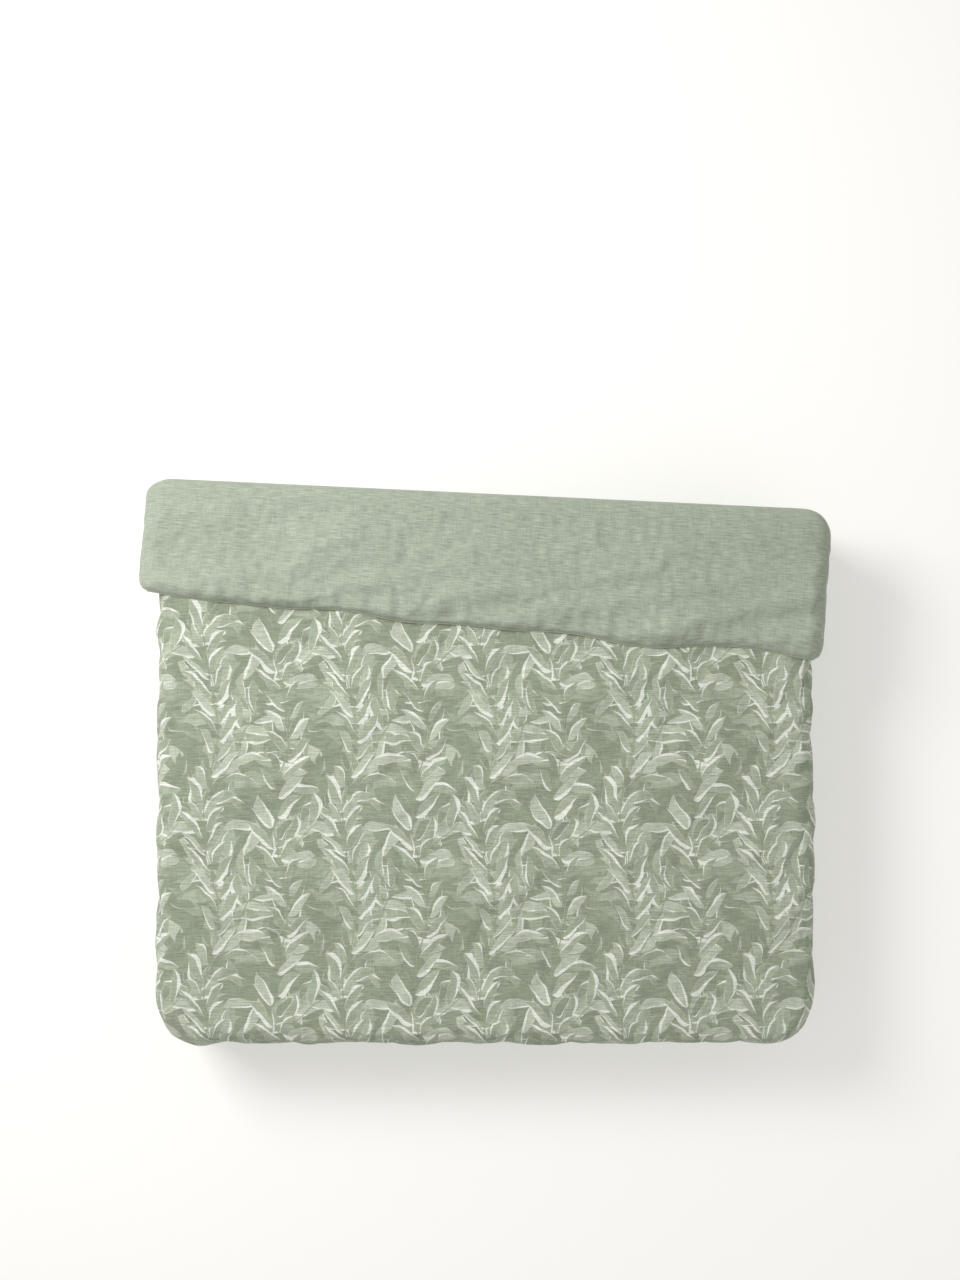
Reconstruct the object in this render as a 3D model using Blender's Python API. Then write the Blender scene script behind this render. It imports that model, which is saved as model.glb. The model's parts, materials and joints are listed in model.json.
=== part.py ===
"""A duvet lying over a double bed, its head end turned back, as an assembly of separate pieces.

Metres, +Z up, +Y towards the head of the bed, +X to the right for someone looking down from
above with the head of the bed at the far side. The hems are at z = 0. The bed isn't part of it:
the duvet is the shape it takes over a mattress 1.6 m wide, so it is open below and at the head.

The printed top panel and the plain reverse of the cover hold a quilted insert of two tickings and
a batt. Over the bed they are one shell. The turned-back head end is a second body, hinged on the
crease, and the parts of it that hang down at the sides are a third and a fourth, because they
swing over as the head end is folded out.
"""

import math

import bmesh
import bpy
from mathutils import Matrix, Vector

for old in list(bpy.data.objects):
    bpy.data.objects.remove(old, do_unlink=True)

# ---------------------------------------------------------------------------------------------
# Driving sizes

MATTRESS_WIDTH = 1.600
MATTRESS_EDGE_RADIUS = 0.025
MATTRESS_CORNER_RADIUS = 0.090
TOP_LOFT = 0.034
SIDE_LOFT = 0.024
DRAPE = 0.360
CREASE_TO_FOOT = 1.345
CREASE_TILT = math.radians(2.7)
TURN_BACK_DEPTH = 0.300
SIDE_TILT = math.radians(4.0)
FOLD_HALF_LENGTH = 0.800

# Gap between pieces that touch, and the thicknesses of the layers
GAP = 0.0003
CLOTH = 0.0012
TICKING = 0.0008

# Heights of hems and of the insert's edge
SEAM_HEIGHT = 0.0037
COVER_HEM = 0.0040
BINDING_BOTTOM = 0.0115
INSERT_HEM = 0.0160
TURN_BACK_HEM = 0.0200

# Button closure along the foot hem
BUTTONS = 7
BUTTON_PITCH = 0.200
BUTTON_RADIUS = 0.0075
BUTTON_THICKNESS = 0.0028
BUTTON_HOLE_RADIUS = 0.0011
BUTTON_HOLE_SPACING = 0.0040
BUTTON_HEIGHT = 0.0190
BUTTONHOLE_LENGTH = 0.0170
BUTTONHOLE_WIDTH = 0.0040
PLACKET_TOP = 0.0360
THREAD = 0.0009

# Facets
CORNER_SEGMENTS = 6
EDGE_SEGMENTS = 6
ROUND_SEGMENTS = 20

# Positions that follow from the sizes
HALF_WIDTH = MATTRESS_WIDTH / 2
AXIS_HEIGHT = DRAPE
MATTRESS_TOP = DRAPE - TOP_LOFT
HEAD_REACH = FOLD_HALF_LENGTH * math.sin(CREASE_TILT) + (TOP_LOFT - GAP) * math.cos(CREASE_TILT)
CREASE_Y = (CREASE_TO_FOOT - HEAD_REACH) / 2
FOOT_Y = CREASE_Y - CREASE_TO_FOOT + SIDE_LOFT
CREASE_ALONG = Vector((math.cos(CREASE_TILT), -math.sin(CREASE_TILT), 0))
CREASE_HEADWARD = Vector((math.sin(CREASE_TILT), math.cos(CREASE_TILT), 0))
CREASE_POINT = Vector((0, CREASE_Y, AXIS_HEIGHT))
HEM_ALONG = Vector((math.cos(2 * CREASE_TILT), -math.sin(2 * CREASE_TILT), 0))
HEM_POINT = Vector((0, CREASE_Y - TURN_BACK_DEPTH, AXIS_HEIGHT))
SIDE_ALONG = Vector((-math.sin(SIDE_TILT), -math.cos(SIDE_TILT), 0))
SIDE_OUTWARD = {
    "left": Vector((-math.cos(SIDE_TILT), math.sin(SIDE_TILT), 0)),
    "right": Vector((math.cos(SIDE_TILT), -math.sin(SIDE_TILT), 0)),
}


# ---------------------------------------------------------------------------------------------
# Materials


def finish(name, colour, roughness=0.9, metallic=0.0):
    """A plain Principled material: an (r, g, b) colour, a roughness and a metallic value."""
    material = bpy.data.materials.new(name)
    material.use_nodes = True
    shader = material.node_tree.nodes["Principled BSDF"]
    shader.inputs["Base Color"].default_value = (*colour, 1)
    shader.inputs["Roughness"].default_value = roughness
    shader.inputs["Metallic"].default_value = metallic
    return material


PRINTED_LINEN = finish("printed_linen", (0.40, 0.50, 0.33), 0.9)
PLAIN_LINEN = finish("plain_linen", (0.33, 0.42, 0.29), 0.92)
WHITE_TICKING = finish("white_ticking", (0.86, 0.86, 0.83), 0.85)
WHITE_BATT = finish("white_batt", (0.93, 0.93, 0.91), 0.95)
WHITE_TAPE = finish("white_tape", (0.80, 0.80, 0.76), 0.85)
SAGE_BUTTON = finish("sage_button", (0.45, 0.52, 0.40), 0.45)
SAGE_THREAD = finish("sage_thread", (0.30, 0.38, 0.27), 0.8)


# ---------------------------------------------------------------------------------------------
# Mesh helpers


def solid(name, points, faces, material, parent=None):
    """One closed body from world points; under a parent its vertices are relative to the parent."""
    origin = parent.matrix_world.translation if parent else Vector((0, 0, 0))
    mesh = bpy.data.meshes.new(name)
    mesh.from_pydata([tuple(Vector(point) - origin) for point in points], [], faces)
    shell = bmesh.new()
    shell.from_mesh(mesh)
    bmesh.ops.recalc_face_normals(shell, faces=shell.faces)
    shell.to_mesh(mesh)
    shell.free()
    mesh.materials.append(material)
    body = bpy.data.objects.new(name, mesh)
    bpy.context.collection.objects.link(body)
    body.parent = parent
    return body


def bridged(name, loops, material, parent=None):
    """A closed body between successive loops of as many points each, with its two ends filled."""
    count = len(loops[0])
    points = [point for loop in loops for point in loop]
    faces = [tuple(range(count)), tuple(range(len(points) - count, len(points)))]
    for row in range(len(loops) - 1):
        for column in range(count):
            beside = (column + 1) % count
            start = row * count
            faces.append((start + column, start + beside, start + count + beside, start + count + column))
    return solid(name, points, faces, material, parent)


def hinge(name, place, parent=None):
    """An empty on a joint's axis, for the pieces that turn about it."""
    empty = bpy.data.objects.new(name, None)
    bpy.context.collection.objects.link(empty)
    if parent:
        empty.parent = parent
        place = place - parent.matrix_world.translation
    empty.location = place
    bpy.context.view_layer.update()
    return empty


def crossing(point, along, other_point, other_along):
    """Where two lines seen from above cross, at the height of the first."""
    away = other_point - point
    turn = along.x * other_along.y - along.y * other_along.x
    reach = (away.x * other_along.y - away.y * other_along.x) / turn
    return point + along * reach


# ---------------------------------------------------------------------------------------------
# The shell over the bed


def crease_end(x):
    """The y of the shell's head edge at x, just footward of the crease."""
    return CREASE_Y - x * math.tan(CREASE_TILT) - GAP / 2


def outline(offset):
    """The bed's plan outline, pushed outwards by offset: left side, foot and right side as (x, y)."""
    radius = MATTRESS_CORNER_RADIUS + offset
    inset = HALF_WIDTH - MATTRESS_CORNER_RADIUS
    corner_y = FOOT_Y + MATTRESS_CORNER_RADIUS
    side_x = HALF_WIDTH + offset
    points = [(-side_x, crease_end(-side_x))]
    for centre_x, first_angle in ((-inset, math.pi), (inset, 1.5 * math.pi)):
        for step in range(CORNER_SEGMENTS + 1):
            angle = first_angle + step * math.pi / 2 / CORNER_SEGMENTS
            points.append((centre_x + radius * math.cos(angle), corner_y + radius * math.sin(angle)))
    points.append((side_x, crease_end(side_x)))
    return points


def edge_profile(offsets, hem):
    """(offset, z) from the hem up the drape, over the mattress edge and onto the flat top."""
    side, top = offsets
    centre_z = MATTRESS_TOP - MATTRESS_EDGE_RADIUS
    profile = [(side, hem)]
    for step in range(EDGE_SEGMENTS + 1):
        angle = step * math.pi / 2 / EDGE_SEGMENTS
        across = (MATTRESS_EDGE_RADIUS + side) * math.cos(angle) - MATTRESS_EDGE_RADIUS
        up = centre_z + (MATTRESS_EDGE_RADIUS + top) * math.sin(angle)
        profile.append((across, up))
    return profile


def inner(distance):
    """Side and top offsets of a face that far out from the bed."""
    return distance, distance


def outer(distance):
    """Side and top offsets of a face that far in from the duvet's outside."""
    return SIDE_LOFT - distance, TOP_LOFT - distance


def bed_shell(name, low, high, hem, material):
    """One layer over the bed: an outer and an inner skin joined along the hem and the head edge."""
    points = []
    for offsets in (high, low):
        for offset, z in edge_profile(offsets, hem):
            points.extend((x, y, z) for x, y in outline(offset))
    stations = 2 * CORNER_SEGMENTS + 4
    rows = EDGE_SEGMENTS + 2
    skin = stations * rows
    last = stations - 1
    faces = []
    for start in (0, skin):
        for row in range(rows - 1):
            for station in range(last):
                corner = start + row * stations + station
                faces.append((corner, corner + 1, corner + 1 + stations, corner + stations))
        top = start + (rows - 1) * stations
        faces.append(tuple(range(top, top + stations)))
    for station in range(last):
        faces.append((station, station + 1, skin + station + 1, skin + station))
    for row in range(rows - 1):
        for station in (0, last):
            corner = row * stations + station
            faces.append((corner, corner + stations, skin + corner + stations, skin + corner))
    top = (rows - 1) * stations
    faces.append((top, top + last, skin + top + last, skin + top))
    return solid(name, points, faces, material)


def hem_strip(name, low, high, bottom, top, stations, material):
    """A strip with a rectangular section along part of the bed's outline."""
    near = outline(low)
    far = outline(high)
    loops = []
    for station in stations:
        (near_x, near_y), (far_x, far_y) = near[station], far[station]
        loops.append(
            [(near_x, near_y, bottom), (far_x, far_y, bottom), (far_x, far_y, top), (near_x, near_y, top)]
        )
    return bridged(name, loops, material)


def foot_bar(name, low, high, bottom, top, half_length, material):
    """A straight bar with a rectangular section along the foot, low to high outward of the bed."""
    loops = []
    for x in (-half_length, half_length):
        near_y, far_y = FOOT_Y - low, FOOT_Y - high
        loops.append([(x, near_y, bottom), (x, far_y, bottom), (x, far_y, top), (x, near_y, top)])
    return bridged(name, loops, material)


TICKING_NEAR = GAP + CLOTH + GAP
BATT_NEAR = TICKING_NEAR + TICKING + GAP

bed_shell("cover_top_panel", outer(GAP + CLOTH), outer(GAP), COVER_HEM, PRINTED_LINEN)
bed_shell("cover_reverse_panel", inner(GAP), inner(GAP + CLOTH), COVER_HEM, PLAIN_LINEN)
TICKING_FAR = TICKING_NEAR + TICKING
bed_shell("insert_upper_ticking", outer(TICKING_FAR), outer(TICKING_NEAR), INSERT_HEM, WHITE_TICKING)
bed_shell("insert_lower_ticking", inner(TICKING_NEAR), inner(TICKING_FAR), INSERT_HEM, WHITE_TICKING)
bed_shell("insert_batt", inner(BATT_NEAR), outer(BATT_NEAR), INSERT_HEM, WHITE_BATT)

# Stations of the outline: the left side with its corner, the foot, the right side with its corner
LEFT_STATIONS = range(0, CORNER_SEGMENTS + 2)
RIGHT_STATIONS = range(CORNER_SEGMENTS + 2, 2 * CORNER_SEGMENTS + 4)
ALL_STATIONS = range(0, 2 * CORNER_SEGMENTS + 4)
FOOT_HALF_LENGTH = HALF_WIDTH - MATTRESS_CORNER_RADIUS - GAP

hem_strip(
    "insert_edge_binding",
    TICKING_NEAR,
    SIDE_LOFT - TICKING_NEAR,
    BINDING_BOTTOM,
    INSERT_HEM - GAP,
    ALL_STATIONS,
    WHITE_TAPE,
)
hem_strip("side_seam_left", GAP, SIDE_LOFT - GAP, 0, SEAM_HEIGHT, LEFT_STATIONS, PLAIN_LINEN)
hem_strip("side_seam_right", GAP, SIDE_LOFT - GAP, 0, SEAM_HEIGHT, RIGHT_STATIONS, PLAIN_LINEN)
foot_bar("foot_hem_fold", GAP, SIDE_LOFT - GAP, 0, SEAM_HEIGHT, FOOT_HALF_LENGTH, PRINTED_LINEN)


# ---------------------------------------------------------------------------------------------
# Button closure inside the foot hem


def cut_away(body, cutters):
    """Subtracts a group of (centre, size) boxes from a body, and keeps the result as its mesh."""
    shell = bmesh.new()
    for centre, size in cutters:
        place = Matrix.Translation(centre) @ Matrix.Diagonal((*size, 1))
        bmesh.ops.create_cube(shell, size=1, matrix=place)
    subtract(body, shell)


def subtract(body, shell):
    """Subtracts a bmesh of closed bodies from a body with an exact Boolean."""
    mesh = bpy.data.meshes.new("cutter")
    shell.to_mesh(mesh)
    shell.free()
    cutter = bpy.data.objects.new("cutter", mesh)
    cutter.hide_render = True
    cutter.display_type = "WIRE"
    bpy.context.collection.objects.link(cutter)
    boolean = body.modifiers.new("cut", "BOOLEAN")
    boolean.operation = "DIFFERENCE"
    boolean.solver = "EXACT"
    boolean.object = cutter
    view = bpy.context.evaluated_depsgraph_get()
    body.data = bpy.data.meshes.new_from_object(body.evaluated_get(view), depsgraph=view)
    body.modifiers.clear()
    bpy.data.objects.remove(cutter, do_unlink=True)


UNDERLAP_FACE = -GAP - CLOTH
OVERLAP_NEAR = UNDERLAP_FACE - GAP
OVERLAP_FACE = OVERLAP_NEAR - CLOTH
BUTTON_BACK = OVERLAP_FACE - 2 * GAP
PLACKET_HALF_LENGTH = FOOT_HALF_LENGTH - 0.01
button_places = [(index - (BUTTONS - 1) / 2) * BUTTON_PITCH for index in range(BUTTONS)]

foot_bar("foot_button_placket", -GAP, UNDERLAP_FACE, COVER_HEM, PLACKET_TOP, PLACKET_HALF_LENGTH, PLAIN_LINEN)
overlap = foot_bar(
    "foot_buttonhole_placket",
    OVERLAP_NEAR,
    OVERLAP_FACE,
    COVER_HEM,
    PLACKET_TOP,
    PLACKET_HALF_LENGTH,
    PLAIN_LINEN,
)
buttonhole = (BUTTONHOLE_LENGTH, 4 * CLOTH, BUTTONHOLE_WIDTH)
placket_middle = FOOT_Y - (OVERLAP_NEAR + OVERLAP_FACE) / 2
cut_away(overlap, [((x, placket_middle, BUTTON_HEIGHT), buttonhole) for x in button_places])


def cylinder(shell, centre, radius, depth):
    """Adds a cylinder with its axis along Y to a bmesh."""
    place = Matrix.Translation(centre) @ Matrix.Rotation(math.pi / 2, 4, "X")
    bmesh.ops.create_cone(
        shell,
        cap_ends=True,
        segments=ROUND_SEGMENTS,
        radius1=radius,
        radius2=radius,
        depth=depth,
        matrix=place,
    )


def button_mesh():
    """A flat two-hole button, its middle at the origin and its axis along Y."""
    blank = bmesh.new()
    cylinder(blank, (0, 0, 0), BUTTON_RADIUS, BUTTON_THICKNESS)
    mesh = bpy.data.meshes.new("button")
    blank.to_mesh(mesh)
    blank.free()
    body = bpy.data.objects.new("button_blank", mesh)
    bpy.context.collection.objects.link(body)
    holes = bmesh.new()
    for side in (-1, 1):
        cylinder(holes, (side * BUTTON_HOLE_SPACING / 2, 0, 0), BUTTON_HOLE_RADIUS, 2 * BUTTON_THICKNESS)
    subtract(body, holes)
    mesh = body.data
    bpy.data.objects.remove(body, do_unlink=True)
    mesh.materials.clear()
    mesh.materials.append(SAGE_BUTTON)
    mesh.shade_smooth()
    mesh.set_sharp_from_angle(angle=math.radians(40))
    return mesh


def button_thread(name, x):
    """A staple of thread: across the button's face, down both holes and on to the underlap."""
    half = BUTTON_HOLE_SPACING / 2
    back = FOOT_Y - UNDERLAP_FACE + GAP
    face = FOOT_Y - BUTTON_BACK + BUTTON_THICKNESS + GAP
    wide = THREAD / 2
    outer_half, inner_half = half + wide, half - wide
    crossing = face + THREAD
    outside = [(-outer_half, back), (-outer_half, crossing), (outer_half, crossing), (outer_half, back)]
    inside = [(inner_half, back), (inner_half, face), (-inner_half, face), (-inner_half, back)]
    section = outside + inside
    loops = []
    for z in (BUTTON_HEIGHT - wide, BUTTON_HEIGHT + wide):
        loops.append([(x + across, y, z) for across, y in section])
    return bridged(name, loops, SAGE_THREAD)


shared_button = button_mesh()
button_y = FOOT_Y - BUTTON_BACK + BUTTON_THICKNESS / 2
for index, place_x in enumerate(button_places):
    button = bpy.data.objects.new(f"button_{index + 1}", shared_button)
    button.location = (place_x, button_y, BUTTON_HEIGHT)
    bpy.context.collection.objects.link(button)
    button_thread(f"button_thread_{index + 1}", place_x)


# ---------------------------------------------------------------------------------------------
# Corner ties and loops in the hem, and the care label

TIE_LENGTH = 0.060
TIE_DEPTH = 0.010
TIE_HEIGHT = 0.0055
TAPE_THICKNESS = 0.0010
LOOP_LENGTH = 0.020
LOOP_DEPTH = 0.006
TIE_OUTWARD = 0.010


def tape_ring(name, centre_x, centre_y, length, depth, bottom, top):
    """A flat tape sewn into a ring: a rectangular tube with its opening along Z."""
    thick = TAPE_THICKNESS
    loops = []
    for half_x, half_y, z in (
        (length / 2, depth / 2, bottom),
        (length / 2, depth / 2, top),
        (length / 2 - thick, depth / 2 - thick, top),
        (length / 2 - thick, depth / 2 - thick, bottom),
    ):
        loops.append(
            [
                (centre_x - half_x, centre_y - half_y, z),
                (centre_x + half_x, centre_y - half_y, z),
                (centre_x + half_x, centre_y + half_y, z),
                (centre_x - half_x, centre_y + half_y, z),
            ]
        )
    points = [point for loop in loops for point in loop]
    faces = []
    for row in range(4):
        for column in range(4):
            beside = (column + 1) % 4
            start = row * 4
            following = (row + 1) % 4 * 4
            faces.append((start + column, start + beside, following + beside, following + column))
    return solid(name, points, faces, WHITE_TAPE)


ring_y = FOOT_Y - TIE_OUTWARD
tie_bottom = COVER_HEM + GAP
for side, sign in (("left", -1), ("right", 1)):
    tie_x = sign * (FOOT_HALF_LENGTH - TIE_LENGTH / 2)
    for name, length, depth in (
        ("corner_tie", TIE_LENGTH, TIE_DEPTH),
        ("insert_loop", LOOP_LENGTH, LOOP_DEPTH),
    ):
        tape_ring(f"{name}_{side}", tie_x, ring_y, length, depth, tie_bottom, tie_bottom + TIE_HEIGHT)

LABEL_WIDTH = 0.030
LABEL_HEIGHT = 0.050
LABEL_THICKNESS = 0.0004
LABEL_FROM_CORNER = 0.250
label_y = FOOT_Y + LABEL_FROM_CORNER
label_face = -HALF_WIDTH
label_loops = []
for label_z in (COVER_HEM, COVER_HEM + LABEL_HEIGHT):
    label_loops.append(
        [
            (label_face, label_y, label_z),
            (label_face + LABEL_THICKNESS, label_y, label_z),
            (label_face + LABEL_THICKNESS, label_y + LABEL_WIDTH, label_z),
            (label_face, label_y + LABEL_WIDTH, label_z),
        ]
    )
bridged("care_label", label_loops, WHITE_TAPE)


# ---------------------------------------------------------------------------------------------
# The fold roll along the crease, in quarters: the lower one stays, the upper one turns


def crease_place(along, headward, height):
    """A world point measured from the middle of the crease."""
    place = CREASE_POINT + CREASE_ALONG * along + CREASE_HEADWARD * headward
    return place.x, place.y, height


def quarter_roll(name, near, far, upward, half_length, material, parent=None):
    """A quarter of a tube about the crease, on its head side, above or below the axis."""
    first = GAP / 2 if upward else -GAP / 2
    section = []
    for radius, steps in ((far, range(EDGE_SEGMENTS + 1)), (near, range(EDGE_SEGMENTS, -1, -1))):
        for step in steps:
            angle = step * math.pi / 2 / EDGE_SEGMENTS
            headward = radius * math.cos(angle) + GAP
            rise = radius * math.sin(angle)
            section.append((headward, AXIS_HEIGHT + first + (rise if upward else -rise)))
    loops = []
    for along in (-half_length, half_length):
        loops.append([crease_place(along, headward, height) for headward, height in section])
    return bridged(name, loops, material, parent)


turn_back_hinge = hinge("turn_back_hinge", CREASE_POINT)
ROLL_FAR = TOP_LOFT - 2 * GAP
ROLL_SKIN = ROLL_FAR - CLOTH
ROLL_BATT_FAR = ROLL_SKIN - GAP
ROLL_BATT_NEAR = 0.002
for upward, level, parent in ((False, "lower", None), (True, "upper", turn_back_hinge)):
    for name, near, far, material in (
        (f"fold_cover_{level}", ROLL_SKIN, ROLL_FAR, PLAIN_LINEN),
        (f"fold_batt_{level}", ROLL_BATT_NEAR, ROLL_BATT_FAR, WHITE_BATT),
    ):
        quarter_roll(name, near, far, upward, FOLD_HALF_LENGTH, material, parent)


# ---------------------------------------------------------------------------------------------
# The turned-back head end: flat on top, hanging at both sides

footward_gap = CREASE_HEADWARD * -GAP
CREASE_EDGE = CREASE_POINT + footward_gap
WIDE_X = HALF_WIDTH + SIDE_LOFT + GAP


def side_axes():
    """The points where the two side axes start on the crease, so that both sides clear the bed shell.

    The sides lean by SIDE_TILT. The right one leans inwards and clears the shell at its hem. The
    left one leans outwards, and starts where it makes the whole shape as wide to the left.
    """
    lean = math.tan(SIDE_TILT)
    right_hem = crossing(HEM_POINT, HEM_ALONG, Vector((WIDE_X, 0, 0)), Vector((0, 1, 0)))
    right_x = WIDE_X + (crease_end(WIDE_X) - right_hem.y) * lean
    left_hem = crossing(HEM_POINT, HEM_ALONG, Vector((-WIDE_X, 0, 0)), Vector((0, 1, 0)))
    left_x = right_x - (crease_end(-WIDE_X) - left_hem.y) * lean
    starts = {}
    for side, x in (("left", -left_x), ("right", right_x)):
        line = Vector((x, CREASE_Y - x * math.tan(CREASE_TILT), AXIS_HEIGHT))
        starts[side] = line
    return starts


AXIS_START = side_axes()


def side_line(side, outward, edge_point, edge_along):
    """Where the line along a side, outward of its axis, meets an edge, as a world point."""
    start = AXIS_START[side] + SIDE_OUTWARD[side] * outward
    return crossing(start, SIDE_ALONG, edge_point, edge_along)


def side_bar(name, side, section, material, parent):
    """A bar along a side of the turn-back, its section given as (outward, z) points."""
    loops = []
    for edge_point, edge_along in ((CREASE_EDGE, CREASE_ALONG), (HEM_POINT, HEM_ALONG)):
        loop = []
        for outward, z in section:
            place = side_line(side, outward, edge_point, edge_along)
            loop.append((place.x, place.y, z))
        loops.append(loop)
    return bridged(name, loops, material, parent)


def rectangle(low, high, bottom, top):
    """The four corners of a section from low to high outward and from bottom to top."""
    return [(low, bottom), (high, bottom), (high, top), (low, top)]


PANEL_INSET = SIDE_LOFT + 0.001
RIM_FILLING = 0.016


def turn_back_slab(name, low, high, material):
    """One layer of the turn-back's flat part, from the crease to the head seam."""
    corners = []
    seam_edge = HEM_POINT + Vector((0, SEAM_HEIGHT + GAP, 0))
    for side, edge_point, edge_along in (
        ("left", CREASE_EDGE, CREASE_ALONG),
        ("left", seam_edge, HEM_ALONG),
        ("right", seam_edge, HEM_ALONG),
        ("right", CREASE_EDGE, CREASE_ALONG),
    ):
        corners.append(side_line(side, -PANEL_INSET, edge_point, edge_along))
    loops = []
    for height in (low, high):
        loops.append([(corner.x, corner.y, AXIS_HEIGHT + height) for corner in corners])
    return bridged(name, loops, material, turn_back_hinge)


turn_back_slab("turn_back_cover_top", GAP, GAP + CLOTH, PRINTED_LINEN)
turn_back_slab("turn_back_lower_ticking", TICKING_NEAR, TICKING_NEAR + TICKING, WHITE_TICKING)
turn_back_slab("turn_back_batt", BATT_NEAR, TOP_LOFT - BATT_NEAR, WHITE_BATT)
turn_back_slab(
    "turn_back_upper_ticking", TOP_LOFT - TICKING_NEAR - TICKING, TOP_LOFT - TICKING_NEAR, WHITE_TICKING
)
turn_back_slab("turn_back_cover_reverse", TOP_LOFT - GAP - CLOTH, TOP_LOFT - GAP, PLAIN_LINEN)

# The seam along the head hem closes the bag between the two panels
seam_loops = []
for side in ("left", "right"):
    loop = []
    for away, height in rectangle(0, SEAM_HEIGHT, GAP, TOP_LOFT - GAP):
        place = side_line(side, -PANEL_INSET, HEM_POINT + Vector((0, away, 0)), HEM_ALONG)
        loop.append((place.x, place.y, AXIS_HEIGHT + height))
    seam_loops.append(loop)
bridged("head_seam", seam_loops, PLAIN_LINEN, turn_back_hinge)


def rim_section(near, far):
    """A section round a rim: flat over the side's axis, then a quarter turn down to its height."""
    section = []
    for depth, steps in ((far, range(EDGE_SEGMENTS + 1)), (near, range(EDGE_SEGMENTS, -1, -1))):
        turn = [step * math.pi / 2 / EDGE_SEGMENTS for step in steps]
        across = SIDE_LOFT - depth
        rise = TOP_LOFT - depth
        arc = [(across * math.sin(angle), AXIS_HEIGHT + rise * math.cos(angle)) for angle in turn]
        flat = [(GAP - PANEL_INSET, AXIS_HEIGHT + rise)]
        section.extend(flat + arc if depth == far else arc + flat)
    return section


SIDE_TOP = AXIS_HEIGHT - GAP
FOLD_CLEARANCE = 0.0012
for side in ("left", "right"):
    for name, near, far, material in (
        (f"rim_cover_{side}", GAP + CLOTH, GAP, PLAIN_LINEN),
        (f"rim_batt_{side}", 2 * GAP + CLOTH + RIM_FILLING, 2 * GAP + CLOTH, WHITE_BATT),
    ):
        side_bar(name, side, rim_section(near, far), material, turn_back_hinge)
    side_hinge = hinge(f"{side}_side_hinge", AXIS_START[side], turn_back_hinge)
    layers = (
        ("cover_top", GAP, GAP + CLOTH, PRINTED_LINEN),
        ("batt", 2 * GAP + CLOTH, SIDE_LOFT - 2 * GAP - CLOTH, WHITE_BATT),
        ("cover_reverse", SIDE_LOFT - GAP - CLOTH, SIDE_LOFT - GAP, PLAIN_LINEN),
    )
    bottom = TURN_BACK_HEM + SEAM_HEIGHT + GAP
    for layer, low, high, material in layers:
        side_bar(f"{side}_side_{layer}", side, rectangle(low, high, bottom, SIDE_TOP), material, side_hinge)
    seam = rectangle(GAP, SIDE_LOFT - GAP, TURN_BACK_HEM, TURN_BACK_HEM + SEAM_HEIGHT)
    side_bar(f"{side}_side_seam", side, seam, PLAIN_LINEN, side_hinge)

    # The cover turned round the upright end of the fold
    fold_loop = []
    axis = AXIS_START[side]
    for radius, steps in (
        (SIDE_LOFT - GAP, range(2 * EDGE_SEGMENTS + 1)),
        (SIDE_LOFT - GAP - CLOTH, range(2 * EDGE_SEGMENTS, -1, -1)),
    ):
        for step in steps:
            angle = step * math.pi / 2 / EDGE_SEGMENTS
            swing = SIDE_OUTWARD[side] * math.cos(angle) - SIDE_ALONG * math.sin(angle)
            place = axis + swing * radius - SIDE_ALONG * FOLD_CLEARANCE
            fold_loop.append((place.x, place.y))
    fold_top = MATTRESS_TOP - MATTRESS_EDGE_RADIUS
    upright = [[(x, y, z) for x, y in fold_loop] for z in (TURN_BACK_HEM, fold_top)]
    bridged(f"{side}_side_fold_cover", upright, PLAIN_LINEN, side_hinge)
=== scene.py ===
# %% [markdown]
# # A duvet over a double bed
#
# A duvet is a padded bag: a printed linen panel on top, a plain one below, and a quilted insert
# between them. Here it lies over a mattress that isn't shown, hangs at both sides and the foot,
# and has its head end turned back, so that the plain reverse shows as a wide band.
#
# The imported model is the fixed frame. It says where the bed's faces, the crease and the hinge
# axes are, and every surface below is worked out from those.

# %% Load the frame
import functools
import json
import math

import bmesh
import bpy
import numpy as np
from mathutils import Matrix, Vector


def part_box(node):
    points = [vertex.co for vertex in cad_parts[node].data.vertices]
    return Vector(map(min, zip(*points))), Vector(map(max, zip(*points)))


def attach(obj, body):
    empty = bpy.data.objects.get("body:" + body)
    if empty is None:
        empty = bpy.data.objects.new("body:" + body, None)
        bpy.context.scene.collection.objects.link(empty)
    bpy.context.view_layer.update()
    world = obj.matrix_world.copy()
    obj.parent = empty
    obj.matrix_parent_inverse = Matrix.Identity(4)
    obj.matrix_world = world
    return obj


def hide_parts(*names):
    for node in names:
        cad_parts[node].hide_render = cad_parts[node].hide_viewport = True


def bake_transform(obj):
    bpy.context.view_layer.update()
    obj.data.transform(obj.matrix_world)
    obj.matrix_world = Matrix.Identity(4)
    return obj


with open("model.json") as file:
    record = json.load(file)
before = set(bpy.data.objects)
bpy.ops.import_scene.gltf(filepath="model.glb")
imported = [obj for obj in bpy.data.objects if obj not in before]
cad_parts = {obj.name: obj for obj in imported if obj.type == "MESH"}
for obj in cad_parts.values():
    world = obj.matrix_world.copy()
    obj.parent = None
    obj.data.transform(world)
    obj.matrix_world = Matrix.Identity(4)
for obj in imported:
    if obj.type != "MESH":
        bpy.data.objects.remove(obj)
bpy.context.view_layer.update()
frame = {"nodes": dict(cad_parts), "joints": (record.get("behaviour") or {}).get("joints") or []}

# %% [markdown]
# ## Sizes from the frame
#
# The cover's two panels give the outside and the inside of the padded shell over the bed. The
# joints give the crease and the axes about which the hanging sides of the turn-back swing.
# Only the roundings are stated here, because a box of a part doesn't hold them.

# %% Sizes
top_low, top_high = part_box("cover_top_panel")
reverse_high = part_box("cover_reverse_panel")[1]
joints = {joint["name"]: joint for joint in frame["joints"]}

HALF_OUTER = top_high.x
HALF_INNER = reverse_high.x - 0.001
TOP_OUTER = top_high.z
TOP_INNER = reverse_high.z - 0.001
FOOT_OUTER = top_low.y
HEM_Z = 0.002

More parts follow.
